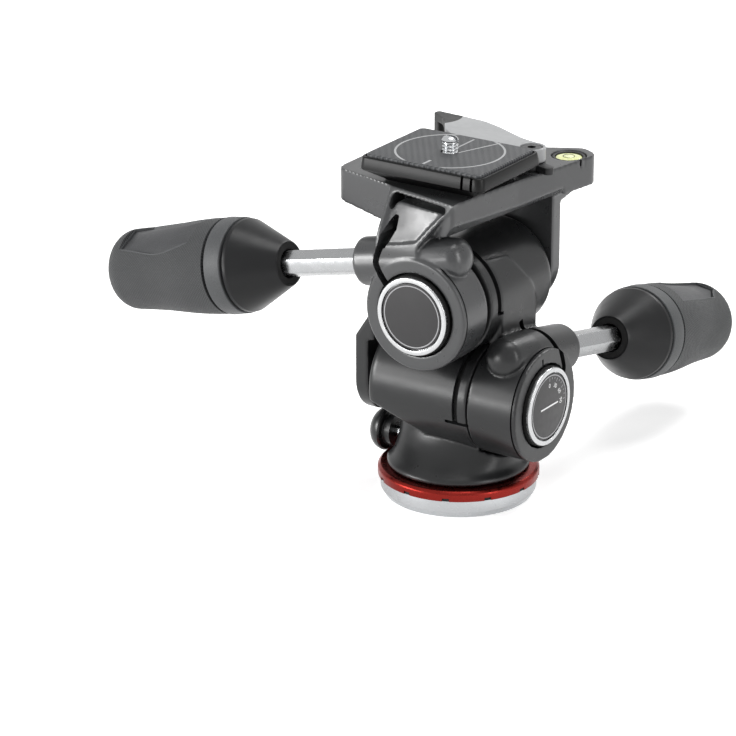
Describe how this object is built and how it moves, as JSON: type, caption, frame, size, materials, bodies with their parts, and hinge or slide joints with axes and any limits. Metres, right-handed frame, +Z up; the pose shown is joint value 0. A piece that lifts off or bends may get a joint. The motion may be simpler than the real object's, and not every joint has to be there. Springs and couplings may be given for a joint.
{
  "type": "three way pan tilt head",
  "caption": "Camera tripod head with separate pan, front tilt and side tilt, clamp handles with sliding grips, index dials and a quick release plate with its lever.",
  "frame": {"origin": "centre of the tripod socket in the base's lower face, on the pan axis", "axes": "+Z up the pan axis; +X along the front tilt axis towards its dial; +Y back along the side tilt axis, away from its dial"},
  "size_m": [0.1896, 0.1874, 0.1413],
  "materials": {
    "anthracite": "satin anthracite paint",
    "platform_grey": "satin grey paint",
    "black_plastic": "matt black",
    "plate_black": "matt black anodised",
    "lever_grey": "satin grey",
    "red_anodised": "satin red anodised",
    "aluminium": "machined",
    "steel": "bright",
    "brass": "plain",
    "nylon": "plain",
    "rubber": "matt grey",
    "vial": "clear yellow green"
  },
  "bodies": {
    "base": {"base_disc": "aluminium", "thread_insert": "brass", "base_ring": "red_anodised", "pan_spindle": "aluminium", "base_screw_1": "steel", "base_screw_2": "steel", "base_screw_3": "steel"},
    "pan_body": {"pan_housing": "anthracite", "pan_retaining_ring": "steel", "pan_thrust_washer": "nylon", "pan_brake_shoe": "brass", "tilt_keeper_washer": "steel", "tilt_keeper_screw": "steel", "tilt_dial_ring": "steel", "tilt_dial": "black_plastic"},
    "pan_lock": {"pan_lock_knob": "anthracite", "pan_lock_screw": "steel"},
    "mid_body": {"mid_bracket": "anthracite", "arm_pivot_pin": "steel", "arm_pivot_screw": "steel", "tilt_clamp_nut": "brass", "side_keeper_washer": "steel", "side_keeper_screw": "steel", "side_dial_ring": "steel", "side_dial": "black_plastic"},
    "tilt_handle": {"tilt_rod": "aluminium", "tilt_rod_washer": "nylon", "tilt_rod_stop": "steel"},
    "tilt_grip_body": {"tilt_grip_sleeve": "black_plastic", "tilt_grip_collar": "anthracite", "tilt_grip": "rubber"},
    "top_body": {"platform_bracket": "platform_grey", "leg_pivot_pin": "steel", "leg_pivot_screw": "steel", "side_clamp_nut": "brass", "level_cup": "black_plastic", "level_vial": "vial", "lever_pivot_screw": "steel", "plate_body": "plate_black", "plate_pad": "rubber"},
    "side_handle": {"side_rod": "aluminium", "side_rod_washer": "nylon", "side_rod_stop": "steel"},
    "side_grip_body": {"side_grip_sleeve": "black_plastic", "side_grip_collar": "anthracite", "side_grip": "rubber"},
    "release_lever": {"quick_release_lever": "lever_grey"},
    "catch_body": {"safety_catch": "black_plastic"},
    "trigger_body": {"trigger_pin": "brass"},
    "camera_screw_body": {"camera_screw": "steel", "screw_fold_ring": "steel"}
  },
  "joints": [
    {"name": "pan", "type": "hinge", "parent": "base", "child": "pan_body", "pos_m": [0, 0, 0], "axis": [0, 0, 1], "continuous": true},
    {"name": "pan_lock_turn", "type": "hinge", "parent": "pan_body", "child": "pan_lock", "pos_m": [-0.028, 0, 0.018], "axis": [-1, 0, 0], "range_deg": [0, 270]},
    {"name": "front_tilt", "type": "hinge", "parent": "pan_body", "child": "mid_body", "pos_m": [0, 0, 0.0424], "axis": [1, 0, 0], "range_deg": [-30, 55]},
    {"name": "side_tilt", "type": "hinge", "parent": "mid_body", "child": "top_body", "pos_m": [0, 0, 0.0804], "axis": [0, 1, 0], "range_deg": [-30, 78]},
    {"name": "tilt_handle_turn", "type": "hinge", "parent": "mid_body", "child": "tilt_handle", "pos_m": [0.0275, 0, 0.0606], "axis": [0, 0.9789, -0.2045], "range_deg": [0, 270]},
    {"name": "side_handle_turn", "type": "hinge", "parent": "top_body", "child": "side_handle", "pos_m": [0, -0.0222, 0.0998], "axis": [-0.9759, 0, -0.2181], "range_deg": [0, 270]},
    {"name": "tilt_grip_slide", "type": "slide", "parent": "tilt_handle", "child": "tilt_grip_body", "axis": [0, -0.9789, 0.2045], "range_m": [0, 0.024]},
    {"name": "side_grip_slide", "type": "slide", "parent": "side_handle", "child": "side_grip_body", "axis": [0.9759, 0, 0.2181], "range_m": [0, 0.033]},
    {"name": "release_lever_turn", "type": "hinge", "parent": "top_body", "child": "release_lever", "pos_m": [0.0146, 0.0262, 0.13], "axis": [0, 0, -1], "range_deg": [0, 55], "stiffness_Nm_per_rad": 0.03, "springref_deg": -20.05},
    {"name": "catch_turn", "type": "hinge", "parent": "top_body", "child": "catch_body", "pos_m": [0.0146, 0.0262, 0.126], "axis": [0, 0, 1], "range_deg": [0, 40]},
    {"name": "trigger_press", "type": "slide", "parent": "top_body", "child": "trigger_body", "axis": [0, 0, -1], "range_m": [0, 0.002], "stiffness_N_per_m": 120, "springref_m": -0.003},
    {"name": "camera_screw_turn", "type": "hinge", "parent": "top_body", "child": "camera_screw_body", "pos_m": [-0.0041, -0.0014, 0.13], "axis": [0, 0, 1], "continuous": true}
  ]
}
